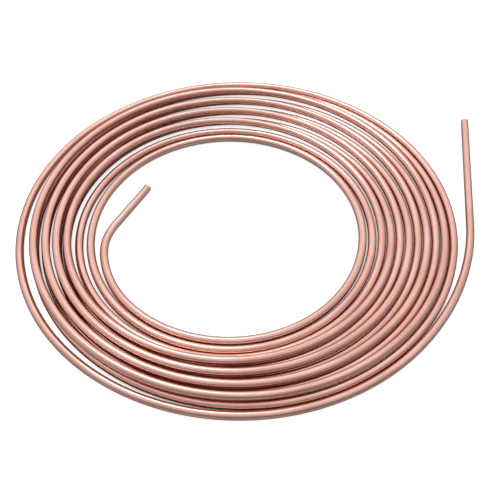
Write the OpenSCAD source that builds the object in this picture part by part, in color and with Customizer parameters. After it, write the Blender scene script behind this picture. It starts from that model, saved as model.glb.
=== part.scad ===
// Loose coil of thin drawn copper tube: one tube, bent from its inner end to its free tail.
// It lies on the floor in the XY plane, with the eye of the coil upright.

/* [Tube] */
// Outside diameter of the tube
tube_od = 4.76; // [3.2:0.01:6.4]
// Wall thickness of the tube
wall = 0.71; // [0.4:0.01:1.2]
// Clear gap left between turns that lie side by side
turn_gap = 0.3; // [0.3:0.05:0.6]

/* [Coil] */
// Radius of the first turn, to the middle of the tube
first_turn_r = 77; // [60:0.5:120]
// Length of the straight piece at the inner end
inner_end_len = 35; // [15:1:40]
// Bend of the inner end, to the middle of the tube
inner_bend_r = 34; // [20:1:40]
// Length of the straight tail at the outer end
tail_len = 92; // [40:1:120]

/* [Hidden] */
// One turn beside the next takes this much room
pitch = tube_od + turn_gap;
// Room that a turn gains on the one before it, and the drift of its middle toward the back right
growth = 0.93 * pitch;
drift = 0.2 * pitch;
drift_to = 40;
// Quarters of a turn, counted from the back right: the coil starts front left, ends front right
first_quarter = -2;
last_quarter = 42;
// Turns that climb over the next one on the left of the coil
upper_turns = [3, 5, 7, 9];
// How far each turn swells to the front left, and leans to the back left, in pitches
swell = [0.3, 0.7, 0.9, 0.4, 0.5, -0.1, 0.1, -0.4, -0.2, -0.8, -0.1];
lean = [0, 0.2, 0.5, 0.3, 0.5, 0.2, 0.5, 0.3, 0.6, 0.3, 0.7];
// The inner end comes in on a tighter bow, and the tail swings out on a wider one
inner_bow_r = first_turn_r - 2.6 * pitch;
tail_r = first_turn_r + 14.1 * pitch;
// Both ends are bent by the angle of a 3-4-5 triangle, about 37 degrees
end_bend = acos(0.8);

// Each bend starts this hair's breadth back inside the one before it, so that they join as one tube
lap = 0.00000002;
bore = tube_od - 2 * wall;
copper = [0.80, 0.50, 0.40];

function turn_of(i) = floor(i / 4) + 1;
function of_turn(list, i) = turn_of(i) < 1 ? 0 : list[min(turn_of(i), len(list)) - 1];
function is_upper(turn) = len(search(turn, upper_turns)) > 0;

// Bend radius over quarter i of the coil, with a its middle angle from the back right
function bow_r(i) =
    let (a = 90 * i + 45)
    first_turn_r + growth * (a + 45) / 360 - drift / PI * sin(a + 45 - drift_to)
    + pitch * (of_turn(swell, i) / 2 + 0.75 * of_turn(lean, i) * sin(2 * a));

// Tilt of a half turn that climbs one layer and starts with quarter i, its cosine cut to six places
// so that the turned bows meet exactly
function tilt(i) = acos(round(1000000 * cos(asin(pitch / (bow_r(i) + bow_r(i + 1))))) / 1000000);
// What that tilt takes off the half turn in plan
function drawn_in(i) = (bow_r(i) + bow_r(i + 1)) * (1 - cos(tilt(i)));

// Roll about the run of the tube at the start of quarter i: up, level, down, level
function roll(i) =
    let (step = i - 4 * floor(i / 4), turn = turn_of(i))
    step == 3 && is_upper(turn + 1) ? tilt(i) :
    step == 1 && is_upper(turn) ? tilt(i - 2) :
    step == 2 && is_upper(turn) ? -tilt(i) :
    step == 0 && is_upper(turn - 1) ? -tilt(i - 2) : 0;

// Middle of the bow of quarter i in plan, from where the first turn starts
function toward(a) = [cos(a), sin(a)];
function joint(i) =
    [for (k = [first_quarter:i - 1]) 1]
    * [for (k = [first_quarter:i - 1]) bow_r(k) * (toward(90 * k + 135) - toward(90 * k + 45))];
function middle(i) = joint(i) - bow_r(i) * toward(90 * i + 45);

// Outermost points: the last turn at the left, front and back, and the tip of the tail
left = middle(last_quarter - 1)[0] - bow_r(last_quarter - 1) - tube_od / 2;
front = middle(last_quarter)[1] - bow_r(last_quarter) - tube_od / 2;
tail_tip = joint(last_quarter + 1) + tail_len * toward(end_bend + 45)
    + tail_r * (toward(end_bend - 45) - toward(-45));
right = tail_tip[0] + tube_od / 2 * sin(end_bend + 45);
back = max(middle(last_quarter - 2)[1] + bow_r(last_quarter - 2) + tube_od / 2, tail_tip[1]);
// The climbs and descents together move the outer turns by this much in plan
moved = [for (turn = upper_turns) 1] * [for (turn = upper_turns)
    drawn_in(4 * turn - 5) * toward(-45) + drawn_in(4 * turn - 2) * toward(225)];

module ring() {
    difference() {
        circle(d = tube_od, $fn = 16);
        circle(d = bore, $fn = 16);
    }
}

// Quarter bow that leaves the origin along +Y and bends toward -X
module bow(r) {
    translate([-r, 0, 0]) rotate_extrude(angle = 90, $fn = 60) translate([r, 0]) ring();
}

// Bow of less than a quarter, cut square across the tube where the next piece starts
module cut_bow(r, angle) {
    reach = r + tube_od;
    intersection() {
        bow(r);
        translate([-r, 0, 0]) rotate([0, 0, angle]) translate([0, -2 * reach, -tube_od])
            cube([2 * reach, 2 * reach, 2 * tube_od]);
    }
}

module after_bow(r, angle) {
    translate([-r, 0, 0]) rotate([0, 0, angle]) translate([r, -lap, 0]) children();
}

module straight(length) {
    rotate([-90, 0, 0]) linear_extrude(height = length) ring();
}

// Puts its child where quarter i starts
module to_joint(i) {
    if (i == first_quarter) rotate([0, roll(i), 0]) children();
    else to_joint(i - 1) after_bow(bow_r(i - 1), 90) rotate([0, roll(i), 0]) children();
}

module turns() {
    for (i = [first_quarter:last_quarter]) to_joint(i) bow(bow_r(i));
}

module tail() {
    to_joint(last_quarter + 1) {
        cut_bow(tail_r, end_bend);
        after_bow(tail_r, end_bend) straight(tail_len);
    }
}

// Inner end, run backwards from the start of the first turn
module inner_end() {
    rotate([180, 0, 0]) translate([0, -lap, 0]) {
        cut_bow(inner_bow_r, end_bend);
        after_bow(inner_bow_r, end_bend) {
            cut_bow(inner_bend_r, end_bend);
            after_bow(inner_bend_r, end_bend) straight(inner_end_len);
        }
    }
}

module copper_tube() {
    color(copper) translate([-(left + right) / 2 - moved[0], -(front + back) / 2 - moved[1], tube_od / 2])
        rotate([0, 0, 90 * first_quarter + 45]) {
            turns();
            tail();
            inner_end();
        }
}

copper_tube();
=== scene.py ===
import bpy
import math
from mathutils import Matrix, Vector


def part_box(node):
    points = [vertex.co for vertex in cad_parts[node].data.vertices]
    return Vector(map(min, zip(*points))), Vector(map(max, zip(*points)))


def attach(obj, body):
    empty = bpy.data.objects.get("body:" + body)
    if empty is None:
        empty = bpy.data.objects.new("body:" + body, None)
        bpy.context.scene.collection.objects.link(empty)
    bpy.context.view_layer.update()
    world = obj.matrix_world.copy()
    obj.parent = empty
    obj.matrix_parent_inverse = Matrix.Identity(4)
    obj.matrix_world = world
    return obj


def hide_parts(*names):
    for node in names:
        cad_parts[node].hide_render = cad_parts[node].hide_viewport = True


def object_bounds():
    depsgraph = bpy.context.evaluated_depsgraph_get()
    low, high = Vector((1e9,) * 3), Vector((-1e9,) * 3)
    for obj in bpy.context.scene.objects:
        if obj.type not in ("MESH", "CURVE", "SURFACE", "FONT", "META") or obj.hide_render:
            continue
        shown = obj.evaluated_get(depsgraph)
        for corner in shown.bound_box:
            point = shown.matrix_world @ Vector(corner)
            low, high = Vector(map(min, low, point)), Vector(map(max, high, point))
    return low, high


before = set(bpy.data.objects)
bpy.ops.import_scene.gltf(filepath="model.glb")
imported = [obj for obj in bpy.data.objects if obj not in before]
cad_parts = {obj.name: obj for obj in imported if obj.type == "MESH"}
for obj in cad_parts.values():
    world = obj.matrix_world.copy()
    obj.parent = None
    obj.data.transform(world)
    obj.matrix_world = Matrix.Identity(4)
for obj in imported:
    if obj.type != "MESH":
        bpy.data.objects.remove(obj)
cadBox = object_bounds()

print("frame loaded")


def placed(name, data):
    made = bpy.data.objects.new(name, data)
    bpy.context.collection.objects.link(made)
    return made


def feed(tree, socket, value):
    # a plain value is set on the socket, and another node's output is linked to it
    if isinstance(value, (int, float, tuple)):
        socket.default_value = value
    else:
        tree.links.new(value, socket)


def mathNode(tree, kind, first, second):
    node = tree.nodes.new("ShaderNodeMath")
    node.operation = kind
    feed(tree, node.inputs[0], first)
    feed(tree, node.inputs[1], second)
    return node.outputs[0]


def rangeNode(tree, value, fromSpan, toSpan):
    node = tree.nodes.new("ShaderNodeMapRange")
    feed(tree, node.inputs["Value"], value)
    for name, limit in zip(("From Min", "From Max", "To Min", "To Max"), (*fromSpan, *toSpan)):
        node.inputs[name].default_value = limit
    return node.outputs["Result"]


# The tube, in metres, degrees and pitches: its size and lay as the part's source has them, then its mesh
copperTube = {
    "tubeOd": 0.00476,
    "wall": 0.00071,
    "turnGap": 0.0003,
    "firstTurnR": 0.077,
    "growth": 0.93,
    "drift": 0.2,
    "driftTo": 40,
    "firstQuarter": -2,
    "lastQuarter": 42,
    "upperTurns": [3, 5, 7, 9],
    "swell": [0.3, 0.7, 0.9, 0.4, 0.5, -0.1, 0.1, -0.4, -0.2, -0.8, -0.1],
    "lean": [0, 0.2, 0.5, 0.3, 0.5, 0.2, 0.5, 0.3, 0.6, 0.3, 0.7],
    "leanShare": 0.75,
    "endBend": math.degrees(math.acos(0.8)),  # both ends, by the angle of a 3-4-5 triangle
    "innerBowIn": 2.6,
    "innerBendR": 0.034,
    "innerEndLen": 0.035,
    "tailBowOut": 14.1,
    "tailLen": 0.092,
    "pointStep": 1.5,  # degrees of a bow from one point of the route to the next
    "innerSteps": 8,
    "tailSteps": 12,
    "sides": 24,
    "ringStep": 0.0027,
    "boreStep": 0.009,
    "lip": 0.00022,
    "inset": 0.00004,  # keeps the tube just inside the solid's box
    "weld": 0.000002,
    "crispFold": 0.6,  # radians between faces, past which an edge stays crisp
}
pitch = copperTube["tubeOd"] + copperTube["turnGap"]


def turnOf(i):
    return math.floor(i / 4) + 1


def ofTurn(values, i):
    return 0 if turnOf(i) < 1 else values[min(turnOf(i), len(values)) - 1]


# Bend radius over quarter i of the coil
def bowR(i):
    middle = math.radians(90 * i + 45)
    away = middle + math.radians(45 - copperTube["driftTo"])
    grown = copperTube["growth"] * pitch * (90 * i + 90) / 360
    grown -= copperTube["drift"] * pitch / math.pi * math.sin(away)
    leaning = copperTube["leanShare"] * ofTurn(copperTube["lean"], i) * math.sin(2 * middle)
    return copperTube["firstTurnR"] + grown + pitch * (ofTurn(copperTube["swell"], i) / 2 + leaning)


# Tilt of a half turn that climbs one layer and starts with quarter i
def tilt(i):
    return math.asin(pitch / (bowR(i) + bowR(i + 1)))


# Roll about the run of the tube at the start of quarter i: up, level, down, level
def roll(i):
    upper, step, turn = copperTube["upperTurns"], i % 4, turnOf(i)
    if step == 3 and turn + 1 in upper:
        return tilt(i)
    if step == 1 and turn in upper:
        return tilt(i - 2)
    if step == 2 and turn in upper:
        return -tilt(i)
    if step == 0 and turn - 1 in upper:
        return -tilt(i - 2)
    return 0


# Points along a bow that leaves its place along its own y and bends toward its own -x, and where it ends
def bowPoints(place, r, angle):
    count = round(angle / copperTube["pointStep"])
    bends = [math.radians(angle * k / count) for k in range(count)]
    points = [place @ Vector((r * math.cos(b) - r, r * math.sin(b), 0)) for b in bends]
    turned = Matrix.Translation((-r, 0, 0)) @ Matrix.Rotation(math.radians(angle), 4, "Z")
    return points, place @ turned @ Matrix.Translation((r, 0, 0))


def straightPoints(place, length, steps):
    return [place @ Vector((0, length * k / steps, 0)) for k in range(steps + 1)]


def tubeRoute():
    start = Matrix.Rotation(math.radians(90 * copperTube["firstQuarter"] + 45), 4, "Z")
    place, points = start.copy(), []
    for i in range(copperTube["firstQuarter"], copperTube["lastQuarter"] + 1):
        place = place @ Matrix.Rotation(roll(i), 4, "Y")
        bow, place = bowPoints(place, bowR(i), 90)
        points += bow
    tailBowR = copperTube["firstTurnR"] + copperTube["tailBowOut"] * pitch
    bow, place = bowPoints(place, tailBowR, copperTube["endBend"])
    points += bow + straightPoints(place, copperTube["tailLen"], copperTube["tailSteps"])
    # the inner end runs backwards from the start of the first turn
    back, place = [], start @ Matrix.Rotation(math.pi, 4, "X")
    innerBowR = copperTube["firstTurnR"] - copperTube["innerBowIn"] * pitch
    for r in (innerBowR, copperTube["innerBendR"]):
        bow, place = bowPoints(place, r, copperTube["endBend"])
        back += bow
    back += straightPoints(place, copperTube["innerEndLen"], copperTube["innerSteps"])
    points = back[:0:-1] + points
    # the solid's own box says where the coil lies
    low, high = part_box("copper_tube")
    tubeR = copperTube["tubeOd"] / 2
    shift = Vector((
        low[0] + tubeR - min(p.x for p in points),
        (low[1] + high[1] - min(p.y for p in points) - max(p.y for p in points)) / 2,
        low[2] + tubeR - min(p.z for p in points)))
    return [p + shift for p in points]


def routeCurve(points):
    curve = bpy.data.curves.new("tubeRoute", "CURVE")
    curve.dimensions = "3D"
    curve.twist_mode = "Z_UP"
    spline = curve.splines.new("POLY")
    spline.points.add(len(points) - 1)
    for knot, p in zip(spline.points, points):
        knot.co = (*p, 1)
    return placed("tubeRoute", curve)


# A straight length of pipe with its bore and its cut ends, then bent along the route
def pipeTree(material):
    tree = bpy.data.node_groups.new("bentPipe", "GeometryNodeTree")
    nodes, links, face = tree.nodes, tree.links, tree.interface
    face.new_socket("Route", in_out="INPUT", socket_type="NodeSocketGeometry")
    for name in ("Length", "Outer Radius", "Bore Radius", "Lip"):
        face.new_socket(name, in_out="INPUT", socket_type="NodeSocketFloat")
    for name in ("Sides", "Rings", "Bore Rings"):
        face.new_socket(name, in_out="INPUT", socket_type="NodeSocketInt")
    face.new_socket("Pipe", in_out="OUTPUT", socket_type="NodeSocketGeometry")
    given = nodes.new("NodeGroupInput").outputs
    made = nodes.new("NodeGroupOutput")

    def then(kind, mesh):
        node = nodes.new(kind)
        links.new(mesh, node.inputs[0])
        return node

    def sleeve(bottom, top, depth, rings):
        # open ring of faces from one radius to another
        cone = nodes.new("GeometryNodeMeshCone")
        cone.fill_type = "NONE"
        feed(tree, cone.inputs["Vertices"], given["Sides"])
        feed(tree, cone.inputs["Side Segments"], rings)
        feed(tree, cone.inputs["Radius Bottom"], bottom)
        feed(tree, cone.inputs["Radius Top"], top)
        feed(tree, cone.inputs["Depth"], depth)
        return cone.outputs["Mesh"]

    def lifted(mesh, height):
        moved = then("GeometryNodeTransform", mesh)
        up = nodes.new("ShaderNodeCombineXYZ")
        links.new(height, up.inputs["Z"])
        links.new(up.outputs[0], moved.inputs["Translation"])
        return moved.outputs["Geometry"]

    def turnedIn(mesh):
        return then("GeometryNodeFlipFaces", mesh).outputs["Mesh"]

    outer, bore, lip, length = (given[n] for n in ("Outer Radius", "Bore Radius", "Lip", "Length"))
    shoulder = mathNode(tree, "SUBTRACT", outer, lip)
    mouth = mathNode(tree, "ADD", bore, lip)
    run = mathNode(tree, "SUBTRACT", length, mathNode(tree, "MULTIPLY", lip, 2))
    end = mathNode(tree, "SUBTRACT", length, lip)
    joined = nodes.new("GeometryNodeJoinGeometry")
    for piece in (
            lifted(sleeve(outer, outer, run, given["Rings"]), lip),
            lifted(turnedIn(sleeve(bore, bore, run, given["Bore Rings"])), lip),
            sleeve(shoulder, outer, lip, 1),
            lifted(sleeve(outer, shoulder, lip, 1), end),
            turnedIn(sleeve(mouth, bore, lip, 1)),
            lifted(turnedIn(sleeve(bore, mouth, lip, 1)), end),
            sleeve(mouth, shoulder, 0.0, 1),
            lifted(sleeve(shoulder, mouth, 0.0, 1), length)):
        links.new(piece, joined.inputs[0])
    merged = then("GeometryNodeMergeByDistance", joined.outputs[0])
    merged.inputs["Distance"].default_value = copperTube["weld"]

    # where each point was on the straight pipe, for the finish
    position = nodes.new("GeometryNodeInputPosition")
    kept = then("GeometryNodeStoreNamedAttribute", merged.outputs[0])
    kept.data_type = "FLOAT_VECTOR"
    kept.domain = "POINT"
    kept.inputs["Name"].default_value = "straight"
    links.new(position.outputs[0], kept.inputs["Value"])

    parts = nodes.new("ShaderNodeSeparateXYZ")
    links.new(position.outputs[0], parts.inputs[0])
    sample = nodes.new("GeometryNodeSampleCurve")
    sample.mode = "LENGTH"
    sample.use_all_curves = False
    links.new(given["Route"], sample.inputs["Curves"])
    links.new(parts.outputs["Z"], sample.inputs["Length"])

    def vector(kind, first, second):
        node = nodes.new("ShaderNodeVectorMath")
        node.operation = kind
        links.new(first, node.inputs[0])
        links.new(second, node.inputs["Scale" if kind == "SCALE" else 1])
        return node.outputs[0]

    normal, tangent = sample.outputs["Normal"], sample.outputs["Tangent"]
    across = vector("SCALE", normal, parts.outputs["X"])
    upright = vector("SCALE", vector("CROSS_PRODUCT", tangent, normal), parts.outputs["Y"])
    bent = then("GeometryNodeSetPosition", kept.outputs[0])
    spot = vector("ADD", sample.outputs["Position"], vector("ADD", across, upright))
    links.new(spot, bent.inputs["Position"])
    smooth = then("GeometryNodeSetShadeSmooth", bent.outputs[0])
    # the lips of the cut ends stay crisp
    fold = nodes.new("GeometryNodeInputMeshEdgeAngle").outputs["Unsigned Angle"]
    crisp = then("GeometryNodeSetShadeSmooth", smooth.outputs[0])
    crisp.domain = "EDGE"
    links.new(mathNode(tree, "LESS_THAN", fold, copperTube["crispFold"]), crisp.inputs["Shade Smooth"])
    real = then("GeometryNodeRealizeInstances", crisp.outputs[0])
    dressed = then("GeometryNodeSetMaterial", real.outputs[0])
    dressed.inputs["Material"].default_value = material
    links.new(dressed.outputs[0], made.inputs[0])
    return tree


copperFinish = {
    "bright": (0.81, 0.505, 0.44, 1),
    "warm": (0.7, 0.4, 0.33, 1),
    "dull": (0.48, 0.24, 0.19, 1),
    "fresh": (0.84, 0.53, 0.45, 1),  # the sawn ends
    "inside": (0.34, 0.15, 0.11, 1),  # the bore, coloured darker than the outside
    "edge": (0.45, 0.32, 0.32, 1),  # tint where the surface turns away
    # each pattern's noise scale, the share of that along the tube, and its detail
    "lines": (1300, 0.006, 4),
    "tones": (160, 0.25, 4),
    "specks": (900, 0.5, 2),
    # noise values over which each comes in, and how much of it shows
    "lineFrom": (0.47, 0.66),
    "lineShown": (0, 0.5),
    "toneFrom": (0.35, 0.7),
    "toneShown": (0, 1),
    "speckFrom": (0.62, 0.78),
    "speckShown": (0, 0.6),
    "roughFrom": (0.3, 0.75),
    "rough": (0.15, 0.26),
    "bumpStrength": 0.015,
    "bumpHeight": 0.0001,
    "boreSlack": 0.00004,
    "freshShare": 0.9,  # of the lip
}


def drawnCopper(length):
    mat = bpy.data.materials.new("drawnCopper")
    mat.use_nodes = True
    tree = mat.node_tree
    nodes, links = tree.nodes, tree.links
    bsdf = nodes["Principled BSDF"]
    bsdf.inputs["Metallic"].default_value = 1.0
    bsdf.inputs["Specular Tint"].default_value = copperFinish["edge"]
    straight = nodes.new("ShaderNodeAttribute")
    straight.attribute_name = "straight"

    def pattern(name):
        scale, alongShare, detail = copperFinish[name]
        mapping = nodes.new("ShaderNodeMapping")
        mapping.inputs["Scale"].default_value = (1, 1, alongShare)
        links.new(straight.outputs["Vector"], mapping.inputs["Vector"])
        noise = nodes.new("ShaderNodeTexNoise")
        noise.inputs["Scale"].default_value = scale
        noise.inputs["Detail"].default_value = detail
        links.new(mapping.outputs["Vector"], noise.inputs["Vector"])
        return noise.outputs["Fac"]

    def mixed(amount, first, second):
        node = nodes.new("ShaderNodeMix")
        node.data_type = "RGBA"
        links.new(amount, node.inputs["Factor"])
        feed(tree, node.inputs[6], first)  # 6 and 7 are the colour sockets
        feed(tree, node.inputs[7], second)
        return node.outputs[2]

    # drawing leaves fine lines along the tube, and handling leaves slow shifts of tone
    lines, tones, specks = pattern("lines"), pattern("tones"), pattern("specks")
    toneAmount = rangeNode(tree, tones, copperFinish["toneFrom"], copperFinish["toneShown"])
    speckAmount = rangeNode(tree, specks, copperFinish["speckFrom"], copperFinish["speckShown"])
    lineAmount = rangeNode(tree, lines, copperFinish["lineFrom"], copperFinish["lineShown"])
    base = mixed(toneAmount, copperFinish["bright"], copperFinish["warm"])
    base = mixed(speckAmount, base, copperFinish["dull"])
    base = mixed(lineAmount, base, copperFinish["dull"])

    # the bore is coloured darker, and the saw leaves the cut ends fresh
    parts = nodes.new("ShaderNodeSeparateXYZ")
    links.new(straight.outputs["Vector"], parts.inputs[0])
    across, upright, along = parts.outputs
    squares = [mathNode(tree, "MULTIPLY", side, side) for side in (across, upright)]
    reach = mathNode(tree, "POWER", mathNode(tree, "ADD", *squares), 0.5)
    darkerBoreR = copperTube["tubeOd"] / 2 - copperTube["wall"] + copperFinish["boreSlack"]
    base = mixed(mathNode(tree, "LESS_THAN", reach, darkerBoreR), base, copperFinish["inside"])
    fromEnd = mathNode(tree, "MINIMUM", along, mathNode(tree, "SUBTRACT", length, along))
    freshDepth = copperTube["lip"] * copperFinish["freshShare"]
    base = mixed(mathNode(tree, "LESS_THAN", fromEnd, freshDepth), base, copperFinish["fresh"])
    links.new(base, bsdf.inputs["Base Color"])
    rough = rangeNode(tree, lines, copperFinish["roughFrom"], copperFinish["rough"])
    links.new(rough, bsdf.inputs["Roughness"])
    bump = nodes.new("ShaderNodeBump")
    bump.inputs["Strength"].default_value = copperFinish["bumpStrength"]
    bump.inputs["Distance"].default_value = copperFinish["bumpHeight"]
    links.new(lines, bump.inputs["Height"])
    links.new(bump.outputs[0], bsdf.inputs["Normal"])
    return mat


points = tubeRoute()
tubeLength = sum((b - a).length for a, b in zip(points, points[1:]))
print("route of", round(tubeLength, 3), "m")

source = routeCurve(points)
bender = source.modifiers.new("bentPipe", "NODES")
bender.node_group = pipeTree(drawnCopper(tubeLength))
sizes = {
    "Length": tubeLength,
    "Outer Radius": copperTube["tubeOd"] / 2 - copperTube["inset"],
    "Bore Radius": copperTube["tubeOd"] / 2 - copperTube["wall"],
    "Lip": copperTube["lip"],
    "Sides": copperTube["sides"],
    "Rings": round(tubeLength / copperTube["ringStep"]),
    "Bore Rings": round(tubeLength / copperTube["boreStep"]),
}
for item in bender.node_group.interface.items_tree:
    if item.in_out == "INPUT" and item.name in sizes:
        bender[item.identifier] = sizes[item.name]
evaluated = source.evaluated_get(bpy.context.evaluated_depsgraph_get())
mesh = bpy.data.meshes.new_from_object(evaluated)
mesh.name = "copperTubeCoil"
coil = placed("copper_tube_coil", mesh)
bpy.data.objects.remove(source)
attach(coil, "root")
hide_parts("copper_tube")
print("coil of", sum(len(p.vertices) - 2 for p in mesh.polygons), "triangles")

white = (1, 1, 1, 1)
floorPaper = {
    "half": 6.0,
    "drop": 0.0001,
    "grey": (0.5, 0.5, 0.5, 1),
    "rough": 0.9,
    "shine": 0.1,
    "glow": 0.8,
    "gapReach": 0.006,
    "gapSky": (0.06, 0.26),  # share of open sky over which the glow comes in
}


def paleFloor():
    half = floorPaper["half"]
    mesh = bpy.data.meshes.new("paleFloor")
    corners = [(-half, -half, 0), (half, -half, 0), (half, half, 0), (-half, half, 0)]
    mesh.from_pydata(corners, [], [(0, 1, 2, 3)])
    floor = placed("pale_floor", mesh)
    floor.location.z = cadBox[0][2] - floorPaper["drop"]
    mat = bpy.data.materials.new("palePaper")
    mat.use_nodes = True
    tree = mat.node_tree
    bsdf = tree.nodes["Principled BSDF"]
    bsdf.inputs["Base Color"].default_value = floorPaper["grey"]
    bsdf.inputs["Roughness"].default_value = floorPaper["rough"]
    bsdf.inputs["Specular IOR Level"].default_value = floorPaper["shine"]
    # a glow makes it look white, as the photo's ground does, while the copper mirrors the grey
    bsdf.inputs["Emission Color"].default_value = white
    seen = tree.nodes.new("ShaderNodeLightPath").outputs["Is Camera Ray"]
    # little light gets down between turns that lie close, so the glow fades there
    sky = tree.nodes.new("ShaderNodeAmbientOcclusion")
    sky.inputs["Distance"].default_value = floorPaper["gapReach"]
    glow = rangeNode(tree, sky.outputs["AO"], floorPaper["gapSky"], (0, floorPaper["glow"]))
    tree.links.new(mathNode(tree, "MULTIPLY", seen, glow), bsdf.inputs["Emission Strength"])
    mesh.materials.append(mat)


studio = {
    "toward": (-0.14, 0.6, 0.79),
    "facing": (-0.4, 1.0),  # from away from the light to straight at it
    "light": (0.18, 1.22),
    "keySize": (0.3, 0.1),
    "keyPower": 1.1,
    "keyPlace": (-0.15, 0.35, 0.8),
}


def softLight():
    world = bpy.data.worlds.new("studioSky")
    bpy.context.scene.world = world
    world.use_nodes = True
    tree = world.node_tree
    back = tree.nodes["Background"]
    back.inputs["Color"].default_value = white
    # one broad soft light over the back, dim toward the camera
    where = tree.nodes.new("ShaderNodeTexCoord")
    facing = tree.nodes.new("ShaderNodeVectorMath")
    facing.operation = "DOT_PRODUCT"
    facing.inputs[1].default_value = studio["toward"]
    tree.links.new(where.outputs["Generated"], facing.inputs[0])
    light = rangeNode(tree, facing.outputs["Value"], studio["facing"], studio["light"])
    # seen past the edge of the floor it is plain white
    seen = tree.nodes.new("ShaderNodeLightPath").outputs["Is Camera Ray"]
    shown = tree.nodes.new("ShaderNodeMix")
    tree.links.new(seen, shown.inputs["Factor"])
    tree.links.new(light, shown.inputs["A"])
    shown.inputs["B"].default_value = 1.0
    tree.links.new(shown.outputs["Result"], back.inputs["Strength"])
    key = bpy.data.lights.new("softKey", "AREA")
    key.shape = "RECTANGLE"
    key.size, key.size_y = studio["keySize"]
    key.energy = studio["keyPower"]
    lamp = placed("softKey", key)
    lamp.location = studio["keyPlace"]
    lamp.rotation_euler = (-lamp.location).to_track_quat("-Z", "Y").to_euler()


# The camera's place, with the focal length and the picture's width in pixels
photoView = {
    "target": (-0.0043, -0.0217, 0.0024),
    "distance": 0.42926,
    "elevation": 51,
    "sensor": 36,
    "focalPixels": 753,
    "widthPixels": 500,
    "nearest": 0.005,
}


def photoCamera():
    data = bpy.data.cameras.new("photoCamera")
    data.sensor_width = photoView["sensor"]
    data.lens = photoView["sensor"] * photoView["focalPixels"] / photoView["widthPixels"]
    data.clip_start = photoView["nearest"]
    camera = placed("photoCamera", data)
    rise = math.radians(photoView["elevation"])
    away = Vector((0, -math.cos(rise), math.sin(rise)))
    camera.location = Vector(photoView["target"]) + photoView["distance"] * away
    camera.rotation_euler = (math.pi / 2 - rise, 0, 0)
    bpy.context.scene.camera = camera


paleFloor()
softLight()
photoCamera()
bpy.context.scene.view_settings.view_transform = "Standard"
print("studio ready")
